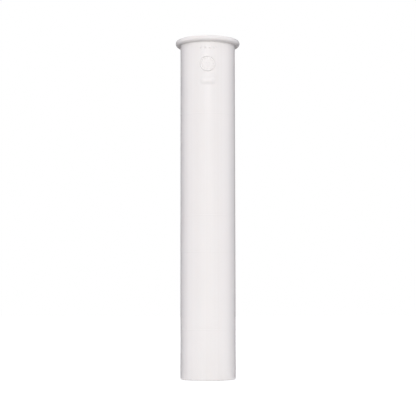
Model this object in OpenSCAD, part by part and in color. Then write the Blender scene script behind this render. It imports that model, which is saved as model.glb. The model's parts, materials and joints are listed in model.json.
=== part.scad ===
// Basin waste tail pipe: one injection-moulded plastic pipe with a flange round its head.
// It stands on its tail, with its axis on Z and the centre of the tail's end face at the
// origin. The flange hangs in the coupling nut of a basin waste, and the plain tail slides
// down into the inlet of the trap, so every form here is a turned one.

/* [Pipe] */
// Outside diameter of the pipe, the size that the trap's washer grips
pipe_od = 32; // [25:0.5:50]
// Thickness of the pipe's wall
wall = 1.8; // [1.4:0.1:3]
// Length from the sealing face on the flange to the end of the tail
overall_length = 198; // [60:1:400]

/* [Flange] */
// How far the flange stands out from the pipe, all round
flange_lip = 2.8; // [2.4:0.1:6]
// Thickness of the flange, from the sealing face down to the shoulder
flange_thickness = 3.1; // [2.8:0.1:6]
// Round on the rim's upper edge
rim_top_round = 1; // [0.2:0.1:1.4]
// Round on the rim's lower edge, where the nut bears
rim_under_round = 1.6; // [0.2:0.1:1.9]
// Fillet in the corner between the shoulder and the pipe
root_fillet = 0.5; // [0.2:0.1:0.9]

/* [Ends] */
// Round on the edge of the mouth, where the water runs in
mouth_round = 1; // [0.2:0.1:2.5]
// Round on the outside edge of the tail, which leads it into the trap's washer
tail_round = 0.4; // [0.2:0.1:1.2]
// Round on the inside edge of the tail
tail_inner_round = 0.3; // [0.1:0.1:0.6]

/* [Hidden] */
$fn = 128;
plastic_white = [0.94, 0.93, 0.925];
// How far a cut runs past the surface that it cuts, or a fillet runs into its walls
overrun = 0.2;

pipe_r = pipe_od / 2;
bore_r = pipe_r - wall;
flange_r = pipe_r + flange_lip;
shoulder_z = overall_length - flange_thickness;

// The web between a square corner and the arc of radius r that rounds it. The corner is
// at the origin, with its two edges along -X and -Y. Taken from a solid corner it leaves
// a round, and set into a hollow one it makes a fillet.
module corner_web(r) {
    difference() {
        translate([-r, -r]) square(r + overrun);
        translate([-r, -r]) circle(r = r);
    }
}

// The pipe's wall and the flange as square-edged rings, cut on one side of the axis
module blank_section() {
    translate([bore_r, 0]) square([wall, overall_length]);
    translate([bore_r, shoulder_z]) square([flange_r - bore_r, flange_thickness]);
}

// One side of the pipe cut through its axis, with every edge rounded as the mould leaves it
module pipe_section() {
    difference() {
        blank_section();
        translate([flange_r, overall_length]) corner_web(rim_top_round);
        translate([flange_r, shoulder_z]) mirror([0, 1]) corner_web(rim_under_round);
        translate([bore_r, overall_length]) mirror([1, 0]) corner_web(mouth_round);
        translate([pipe_r, 0]) mirror([0, 1]) corner_web(tail_round);
        translate([bore_r, 0]) rotate(180) corner_web(tail_inner_round);
    }
    translate([pipe_r, shoulder_z]) mirror([1, 0]) corner_web(root_fillet);
}

module tail_pipe() {
    color(plastic_white) rotate_extrude() pipe_section();
}

tail_pipe();
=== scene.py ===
"""Looks of a basin waste tail pipe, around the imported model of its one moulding.

The pipe hangs by its flange in the coupling nut under a basin, and its plain tail slides
down into the inlet of the trap. Here it stands on its tail in plain studio light.
Everything is in metres, with the pipe's axis on Z and the end of its tail at zero.
"""

import json
import math

import bmesh
import bpy
from mathutils import Matrix, Vector


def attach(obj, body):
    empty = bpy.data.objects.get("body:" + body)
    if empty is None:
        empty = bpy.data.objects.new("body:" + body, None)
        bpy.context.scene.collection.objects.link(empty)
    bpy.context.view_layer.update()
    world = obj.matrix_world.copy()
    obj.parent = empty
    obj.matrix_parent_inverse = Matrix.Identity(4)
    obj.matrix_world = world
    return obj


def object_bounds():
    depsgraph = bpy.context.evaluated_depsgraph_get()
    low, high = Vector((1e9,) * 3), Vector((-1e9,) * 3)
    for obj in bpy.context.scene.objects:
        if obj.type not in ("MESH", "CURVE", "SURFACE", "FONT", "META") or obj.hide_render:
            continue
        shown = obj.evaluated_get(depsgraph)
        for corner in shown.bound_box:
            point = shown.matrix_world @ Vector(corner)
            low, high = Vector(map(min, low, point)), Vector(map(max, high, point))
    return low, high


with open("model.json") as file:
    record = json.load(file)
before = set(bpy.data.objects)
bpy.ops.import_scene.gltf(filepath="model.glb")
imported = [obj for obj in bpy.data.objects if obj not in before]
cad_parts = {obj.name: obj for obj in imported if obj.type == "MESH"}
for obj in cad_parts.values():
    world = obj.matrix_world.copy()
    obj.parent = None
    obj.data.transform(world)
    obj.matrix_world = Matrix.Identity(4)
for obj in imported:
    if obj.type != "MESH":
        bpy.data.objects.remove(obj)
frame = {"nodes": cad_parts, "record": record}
cad_low, cad_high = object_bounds()


# The pipe
# One moulding in white polypropylene: a plain tube with a thin round-edged flange at its
# head. It is shot into a mould of two long halves round a polished steel core, and the
# core is then drawn out through the mouth.
mm = 0.001

mounts = {mount["name"]: mount for mount in frame["record"]["mounts"]}
pipe_radius = mounts["tail"]["dims"]["r_mm"] * mm
bore_radius = mounts["waterway"]["dims"]["r_mm"] * mm
sealing_height = mounts["sealing_face"]["pos_m"][2]
shoulder_height = mounts["nut_shoulder"]["pos_m"][2]

# Patterns, in millimetres. The real grain is some hundredths across and the lines of the
# mould's polish about a tenth. Both are drawn ten times coarser or more, because they
# wouldn't show at all.
grain_width = 0.45
grain_depth = 0.0016
draw_line_width = 1.4
draw_line_depth = 0.005
draw_line_stretch = 0.003
sink_width = 16
sink_depth = 0.035
drift_width = 28
# Each half of the mould is built up from blocks, and each joint between two of them
# prints a ring on the pipe that can only just be felt.
block_joint_heights = [28.6, 73.1, 94.0, 153.1]
block_joint_width = 0.55
block_joint_depth = 0.05
# The steel ring that forms the sealing face is turned on a lathe, and prints its rings.
# They end a hair below the face, so that the rounds beside it have none.
lathe_ring_spacing = 0.32
lathe_ring_depth = 0.002
lathe_ring_reach = 0.02


def linear(hex_colour):
    """The linear colour, with its alpha, of a colour that is written as sRGB hex."""
    shares = [int(hex_colour[i : i + 2], 16) / 255 for i in (1, 3, 5)]
    return [s / 12.92 if s <= 0.04045 else ((s + 0.055) / 1.055) ** 2.4 for s in shares] + [1]


def add_node(tree, kind, inputs, out=None, **settings):
    """Adds a node with its settings and gives its output OUT, or else its first one.

    An input that is given a socket is linked to it, and any other is set.
    """
    node = tree.nodes.new("ShaderNode" + kind)
    for name, value in settings.items():
        setattr(node, name, value)
    open_inputs = [s for s in node.inputs if s.enabled]
    for name, value in inputs.items():
        by_name = [s for s in open_inputs if s.name == name]
        socket = by_name[0] if by_name else open_inputs[name]
        if isinstance(value, bpy.types.NodeSocket):
            tree.links.new(value, socket)
        else:
            socket.default_value = value
    return next((s for s in node.outputs if s.enabled and out in (None, s.name)), None)


# Injection-moulded polypropylene: a milky white with a soft gloss. It mirrors a lamp as a
# blurred streak down the pipe, with faint lines along it where the mould was polished.
plastic = bpy.data.materials.new("injection_moulded_polypropylene")
plastic.use_nodes = True
tree = plastic.node_tree
tree.nodes.clear()

place = add_node(tree, "TexCoord", {}, out="Object")
in_mm = add_node(tree, "Mapping", {"Vector": place, "Scale": [1 / mm] * 3})
drawn_out = add_node(tree, "Mapping", {"Vector": in_mm, "Scale": [1, 1, draw_line_stretch]})
flattened = add_node(tree, "Mapping", {"Vector": in_mm, "Scale": [1, 1, 0]})
from_axis = add_node(tree, "VectorMath", {0: flattened}, operation="LENGTH")
height = add_node(tree, "SeparateXYZ", {"Vector": in_mm}, out="Z")

grain = add_node(tree, "TexNoise", {"Vector": in_mm, "Scale": 1 / grain_width, "Detail": 2})
draw_lines = add_node(
    tree, "TexNoise", {"Vector": drawn_out, "Scale": 1 / draw_line_width, "Detail": 3}
)
sinking = add_node(tree, "TexNoise", {"Vector": in_mm, "Scale": 1 / sink_width, "Detail": 1})
relief = 0
for pattern, depth in (
    (grain, grain_depth),
    (draw_lines, draw_line_depth),
    (sinking, sink_depth),
):
    relief = add_node(
        tree, "Math", {0: pattern, 1: depth, 2: relief}, operation="MULTIPLY_ADD"
    )

wall_middle = (pipe_radius + bore_radius) / 2 / mm
outside = add_node(tree, "Math", {0: from_axis, 1: wall_middle}, operation="GREATER_THAN")
for joint_height in block_joint_heights:
    above = add_node(tree, "Math", {0: height, 1: joint_height}, operation="SUBTRACT")
    away = add_node(tree, "Math", {0: above}, operation="ABSOLUTE")
    ring = add_node(
        tree,
        "MapRange",
        {
            "Value": away,
            "From Max": block_joint_width / 2,
            "To Min": block_joint_depth,
            "To Max": 0,
        },
        interpolation_type="SMOOTHSTEP",
    )
    relief = add_node(tree, "Math", {0: ring, 1: outside, 2: relief}, operation="MULTIPLY_ADD")

turns = add_node(
    tree, "Math", {0: from_axis, 1: 2 * math.pi / lathe_ring_spacing}, operation="MULTIPLY"
)
lathe_rings = add_node(tree, "Math", {0: turns}, operation="SINE")
face_depth = add_node(
    tree,
    "MapRange",
    {
        "Value": height,
        "From Min": sealing_height / mm - lathe_ring_reach,
        "From Max": sealing_height / mm - lathe_ring_reach / 2,
        "To Max": lathe_ring_depth,
    },
)
relief = add_node(
    tree, "Math", {0: lathe_rings, 1: face_depth, 2: relief}, operation="MULTIPLY_ADD"
)
bump = add_node(tree, "Bump", {"Height": relief, "Distance": mm})

# The melt cools unevenly on its way down the mould, so the white is a little warmer in
# slow drifts and along the lines, and the gloss there is a little duller.
plain_white = "#F7F4F2"
warmer_white = "#F2EEEB"
line_share = 0.55
drifts = add_node(tree, "TexNoise", {"Vector": in_mm, "Scale": 1 / drift_width, "Detail": 3})
cooling = add_node(tree, "Mix", {"Factor": line_share, "A": drifts, "B": draw_lines})
spread = add_node(tree, "MapRange", {"Value": cooling, "From Min": 0.2, "From Max": 0.8})
white = add_node(
    tree,
    "Mix",
    {"Factor": spread, "A": linear(plain_white), "B": linear(warmer_white)},
    data_type="RGBA",
)
gloss = add_node(tree, "MapRange", {"Value": spread, "To Min": 0.19, "To Max": 0.27})
milky_depth = 0.6 * mm
shader = add_node(
    tree,
    "BsdfPrincipled",
    {
        "Base Color": white,
        "Roughness": gloss,
        "IOR": 1.49,
        "Subsurface Weight": 0.12,
        "Subsurface Radius": (1.0, 0.9, 0.85),
        "Subsurface Scale": milky_depth,
        "Normal": bump,
    },
)
add_node(tree, "OutputMaterial", {"Surface": shader})

pipe = frame["nodes"]["tail_pipe"]
pipe.data.materials[0] = plastic


# The parting lines
# The two halves of the mould meet in a plane through the pipe's axis, on its left and
# its right. The plastic creeps a little way in between them, and stands as a seam as
# thin as a hair that runs down each side, from the flange's rim to the tail.
seam_width = 0.24 * mm
seam_height = 0.05 * mm
seam_taper = 0.5
seam_low = cad_low.z + 1 * mm
seam_high = sealing_height - 0.4 * mm
root_depth = 0.06 * mm
sharp_angle = math.radians(40)
merge_distance = 0.002 * mm


def finish_piece(name, bm):
    """Makes the moulded detail in BM a piece of the pipe, of the same plastic."""
    mesh = bpy.data.meshes.new(name)
    bm.to_mesh(mesh)
    bm.free()
    mesh.shade_smooth()
    mesh.set_sharp_from_angle(angle=sharp_angle)
    mesh.materials.append(plastic)
    piece = bpy.data.objects.new(name, mesh)
    bpy.context.scene.collection.objects.link(piece)
    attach(piece, "root")


for side, word in ((-1, "left"), (1, "right")):
    # Each seam is a strip of the pipe's own outside, cut free and raised
    bm = bmesh.new()
    bm.from_mesh(pipe.data)
    bmesh.ops.remove_doubles(bm, verts=bm.verts, dist=merge_distance)
    cuts = [
        (Vector((0, 0, 0)), Vector((-side, 0, 0))),
        (Vector((0, seam_width / 2, 0)), Vector((0, 1, 0))),
        (Vector((0, -seam_width / 2, 0)), Vector((0, -1, 0))),
        (Vector((0, 0, seam_low)), Vector((0, 0, -1))),
        (Vector((0, 0, seam_high)), Vector((0, 0, 1))),
    ]
    for point, away in cuts:
        everything = bm.verts[:] + bm.edges[:] + bm.faces[:]
        bmesh.ops.bisect_plane(
            bm, geom=everything, plane_co=point, plane_no=away, clear_outer=True
        )
    bore_faces = [f for f in bm.faces if f.normal.x * side < -0.5]
    bmesh.ops.delete(bm, geom=bore_faces, context="FACES")
    bm.normal_update()
    outward = {v: v.normal.copy() for v in bm.verts}
    for v, way in outward.items():
        v.co -= way * root_depth
    bm.normal_update()
    lifted = bmesh.ops.extrude_face_region(bm, geom=bm.faces[:], use_keep_orig=True)
    for v in lifted["geom"]:
        if isinstance(v, bmesh.types.BMVert):
            v.co += v.normal * (root_depth + seam_height)
            v.co.y *= seam_taper
    bmesh.ops.recalc_face_normals(bm, faces=bm.faces)
    finish_piece("parting_seam_" + word, bm)


# The mould's marks
# Small plugs let into one half of the mould print its working marks on the front of the
# pipe, under the flange: four pips that number the cavity, a date dial with a pip for
# each month and a plain pointer, and a blank tablet. All of them stand a little proud.
mark_height = 0.4 * mm
pip_count = 4
pip_radius = 1.05 * mm
pip_spacing = 2.7 * mm
pips_height = shoulder_height - 3.6 * mm
dial_radius = 4.8 * mm
dial_line = 1.05 * mm
dial_line_points = 9
dial_steps = 72
dial_height = shoulder_height - 13 * mm
month_radius = 0.38 * mm
months_out = 3.1 * mm
pointer_width = 0.6 * mm
pointer_head_width = 2 * mm
pointer_tail = -1.8 * mm
pointer_neck = 0.2 * mm
pointer_tip = 1.9 * mm
tablet_width = 10.4 * mm
tablet_length = 5.4 * mm
tablet_height = shoulder_height - 23 * mm
tablet_slope = 2.5 * mm


def wrap_on_front(bm, centre_height):
    """Bends a mark that lies flat, with its height on Z, round the front of the pipe."""
    for v in bm.verts:
        turn = v.co.x / pipe_radius
        out = pipe_radius + v.co.z
        v.co = Vector((out * math.sin(turn), -out * math.cos(turn), centre_height + v.co.y))


def soft_height(share):
    """The height of a mark's rounded edge, from its top at 0 to its sunk foot at 1."""
    fall = (1 + math.cos(min(share, 1) * math.pi)) / 2
    return (mark_height + root_depth) * fall - root_depth


def add_pip(bm, x, y, radius):
    """Adds a low round dome that runs out softly at its foot."""
    dome = bmesh.ops.create_uvsphere(bm, u_segments=24, v_segments=24, radius=radius)["verts"]
    for v in dome:
        below = v.co.z < -radius / 100
        up = -2 * root_depth if below else soft_height(v.co.xy.length / radius)
        v.co = Vector((x + v.co.x, y + v.co.y, up))


bm = bmesh.new()
for count in range(pip_count):
    add_pip(bm, (count - (pip_count - 1) / 2) * pip_spacing, 0, pip_radius)
wrap_on_front(bm, pips_height)
finish_piece("cavity_pips", bm)

bm = bmesh.new()
section = []
for point in range(dial_line_points):
    share = 2 * point / (dial_line_points - 1) - 1
    across = dial_radius - dial_line * (share + 1) / 2
    section.append(bm.verts.new((across, 0, soft_height(abs(share)))))
sides = [bm.edges.new((section[n - 1], section[n])) for n in range(dial_line_points)]
bmesh.ops.spin(
    bm,
    geom=section + sides,
    axis=(0, 0, 1),
    cent=(0, 0, 0),
    angle=2 * math.pi,
    steps=dial_steps,
    use_merge=True,
)
pointer = [
    bm.verts.new((x, y, -root_depth))
    for x, y in (
        (-pointer_width / 2, pointer_tail),
        (pointer_width / 2, pointer_tail),
        (pointer_width / 2, pointer_neck),
        (pointer_head_width / 2, pointer_neck),
        (0, pointer_tip),
        (-pointer_head_width / 2, pointer_neck),
        (-pointer_width / 2, pointer_neck),
    )
]
raised = bmesh.ops.extrude_face_region(bm, geom=[bm.faces.new(pointer)], use_keep_orig=True)
for v in raised["geom"]:
    if isinstance(v, bmesh.types.BMVert):
        v.co.z = mark_height
bmesh.ops.recalc_face_normals(bm, faces=bm.faces)
for month in range(12):
    turn = month * math.pi / 6
    add_pip(bm, months_out * math.sin(turn), months_out * math.cos(turn), month_radius)
wrap_on_front(bm, dial_height)
finish_piece("date_dial", bm)

bm = bmesh.new()
bmesh.ops.create_grid(
    bm,
    x_segments=64,
    y_segments=28,
    size=0.5,
    matrix=Matrix.Diagonal((tablet_width, tablet_length, 1, 1)),
)
raised = bmesh.ops.extrude_face_region(bm, geom=bm.faces[:], use_keep_orig=True)
top = [v for v in raised["geom"] if isinstance(v, bmesh.types.BMVert)]
for v in bm.verts:
    v.co.z = -2 * root_depth
for v in top:
    past_side = max(abs(v.co.x) - tablet_width / 2 + tablet_slope, 0)
    past_end = max(abs(v.co.y) - tablet_length / 2 + tablet_slope, 0)
    v.co.z = soft_height(math.hypot(past_side, past_end) / tablet_slope)
bmesh.ops.recalc_face_normals(bm, faces=bm.faces)
wrap_on_front(bm, tablet_height)
finish_piece("blank_tablet", bm)


# The floor
# A broad matt white card under the pipe. It glows to the camera, so that it comes out as
# white as the air behind it, and is still dimmer where the pipe keeps the light off. To
# the lamps it is a light grey, a little paler close by, which sets the light from below.
floor_radius = 4
floor_gap = 0.05 * mm
near_glow = 0.8
near_grey = "#ABABAB"
far_grey = "#949494"
card = bpy.data.materials.new("matt_white_card")
card.use_nodes = True
tree = card.node_tree
tree.nodes.clear()


def seen_directly(tree):
    """1 for what the camera sees, also in a mirror or through glass, and 0 for light."""
    path = add_node(tree, "LightPath", {}, out="Is Camera Ray").node.outputs
    mirrored = add_node(
        tree,
        "Math",
        {0: path["Is Camera Ray"], 1: path["Is Glossy Ray"]},
        operation="MAXIMUM",
    )
    return add_node(
        tree, "Math", {0: mirrored, 1: path["Is Transmission Ray"]}, operation="MAXIMUM"
    )


dim_white = add_node(tree, "BsdfDiffuse", {"Color": linear("#959595")})
spot = add_node(tree, "TexCoord", {}, out="Object")
from_pipe = add_node(tree, "VectorMath", {0: spot}, operation="LENGTH")
fading = add_node(
    tree,
    "MapRange",
    {"Value": from_pipe, "From Min": 0.1, "From Max": 0.5, "To Min": near_glow, "To Max": 1},
    interpolation_type="SMOOTHSTEP",
)
glow = add_node(tree, "Emission", {"Color": linear("#FFFFFF"), "Strength": fading})
seen_card = add_node(tree, "AddShader", {0: dim_white, 1: glow})
outward = add_node(
    tree,
    "MapRange",
    {"Value": from_pipe, "From Min": 0.05, "From Max": 0.25},
    interpolation_type="SMOOTHSTEP",
)
greying = add_node(
    tree,
    "Mix",
    {"Factor": outward, "A": linear(near_grey), "B": linear(far_grey)},
    data_type="RGBA",
)
lit_card = add_node(tree, "BsdfDiffuse", {"Color": greying})
top_side = add_node(tree, "MixShader", {0: seen_directly(tree), 1: lit_card, 2: seen_card})
under_side = add_node(tree, "BsdfTransparent", {})
below = add_node(tree, "NewGeometry", {}, out="Backfacing")
card_surface = add_node(tree, "MixShader", {0: below, 1: top_side, 2: under_side})
add_node(tree, "OutputMaterial", {"Surface": card_surface})

bm = bmesh.new()
bmesh.ops.create_circle(
    bm,
    cap_ends=True,
    segments=96,
    radius=floor_radius,
    matrix=Matrix.Translation((0, 0, cad_low.z - floor_gap)),
)
mesh = bpy.data.meshes.new("floor")
bm.to_mesh(mesh)
bm.free()
mesh.materials.append(card)
floor = bpy.data.objects.new("floor", mesh)
bpy.context.scene.collection.objects.link(floor)


# The light
# The pipe stands in a tent of white cloth, which lights it evenly from all sides. Softboxes
# add to that low down in front, on each side and behind. A small one high in front shows
# in the gloss, as the streak down the upper half of the pipe.
middle = (cad_low + cad_high) / 2


def add_softbox(name, turn, away, up, width, tall, watts, tint, shows=False):
    """Hangs a soft lamp at TURN degrees from the front, that points at the pipe's middle."""
    lamp = bpy.data.lights.new(name, "AREA")
    lamp.color = linear(tint)[:3]
    lamp.shape = "RECTANGLE"
    lamp.size = width
    lamp.size_y = tall
    lamp.energy = watts
    softbox = bpy.data.objects.new(name, lamp)
    softbox.location = Matrix.Rotation(math.radians(turn), 3, "Z") @ Vector((0, -away, up))
    softbox.rotation_euler = (middle - softbox.location).to_track_quat("-Z", "Y").to_euler()
    softbox.visible_camera = False
    softbox.visible_glossy = shows
    bpy.context.scene.collection.objects.link(softbox)


warm = "#FFFEFA"
cool = "#F3F3FF"
add_softbox(
    "high_softbox", 0, away=1.15, up=0.6, width=0.5, tall=0.5, watts=2, tint=cool, shows=True
)
add_softbox("low_softbox", 0, away=1.15, up=0.15, width=1, tall=0.26, watts=5.25, tint=warm)
add_softbox("left_softbox", -100, away=1.3, up=0.6, width=0.9, tall=0.9, watts=3.6, tint=cool)
add_softbox("right_softbox", 100, away=1.3, up=0.6, width=0.9, tall=0.9, watts=3.6, tint=cool)
add_softbox("back_softbox", 180, away=1, up=1.1, width=0.8, tall=0.8, watts=6, tint=cool)

# Black cards: a white thing on a white ground is photographed between two of them, so
# that they show in the gloss of its edges and draw its outline. Each stands bent round
# behind the pipe, on a black foot that lies on the floor. They are there for the gloss
# alone, and leave the lamps' light as it is.
black = bpy.data.materials.new("black_card")
black.use_nodes = True
tree = black.node_tree
tree.nodes.clear()
black_surface = add_node(tree, "BsdfDiffuse", {"Color": linear("#303030")})
add_node(tree, "OutputMaterial", {"Surface": black_surface})

card_distance = 0.07
card_turn = math.radians(92)
card_top = 0.28
foot_height = 0.4 * mm
foot_distance = 0.018
card_steps = 16
for side, word in ((-1, "left"), (1, "right")):
    bm = bmesh.new()
    points = [
        bm.verts.new((0, foot_distance, foot_height)),
        bm.verts.new((0, card_distance, foot_height)),
        bm.verts.new((0, card_distance, card_top)),
    ]
    bmesh.ops.spin(
        bm,
        geom=points + [bm.edges.new(points[:2]), bm.edges.new(points[1:])],
        axis=(0, 0, 1),
        cent=(0, 0, 0),
        angle=-side * card_turn,
        steps=card_steps,
    )
    mesh = bpy.data.meshes.new("black_card_" + word)
    bm.to_mesh(mesh)
    bm.free()
    mesh.materials.append(black)
    black_card = bpy.data.objects.new("black_card_" + word, mesh)
    black_card.visible_camera = False
    black_card.visible_diffuse = False
    black_card.visible_shadow = False
    bpy.context.scene.collection.objects.link(black_card)

world = bpy.data.worlds.new("white_tent")
bpy.context.scene.world = world
world.use_nodes = True
tree = world.node_tree
tree.nodes.clear()
tent_light = add_node(tree, "Background", {"Color": linear("#FCFBFF"), "Strength": 0.645})
tent_seen = add_node(tree, "Background", {"Color": linear("#FFFFFF"), "Strength": 1})
tent = add_node(tree, "MixShader", {0: seen_directly(tree), 1: tent_light, 2: tent_seen})
add_node(tree, "OutputWorld", {"Surface": tent})


# The camera
# It stands a little above the floor and close to the pipe, and looks slightly up, so that
# the flange is seen from below and the end of the tail from above. The values come from
# fitting the pipe's outline to the photograph.
photo_width_px = 416
focal_length_px = 1179
camera_distance = 687.8 * mm
camera_height = 42.1 * mm
camera_tilt = 0.083
head_axis_px = 207.8
tail_axis_px = 208.28
axis_length_px = 340

lens = bpy.data.cameras.new("camera")
lens.sensor_width = 36
lens.lens = focal_length_px / photo_width_px * lens.sensor_width
camera = bpy.data.objects.new("camera", lens)
camera.location = (0, -camera_distance, camera_height)
lean = math.atan((tail_axis_px - head_axis_px) / axis_length_px)
camera.rotation_euler = (math.pi / 2 + camera_tilt, lean, 0)
bpy.context.scene.collection.objects.link(camera)
bpy.context.scene.camera = camera

bpy.context.scene.view_settings.view_transform = "Standard"
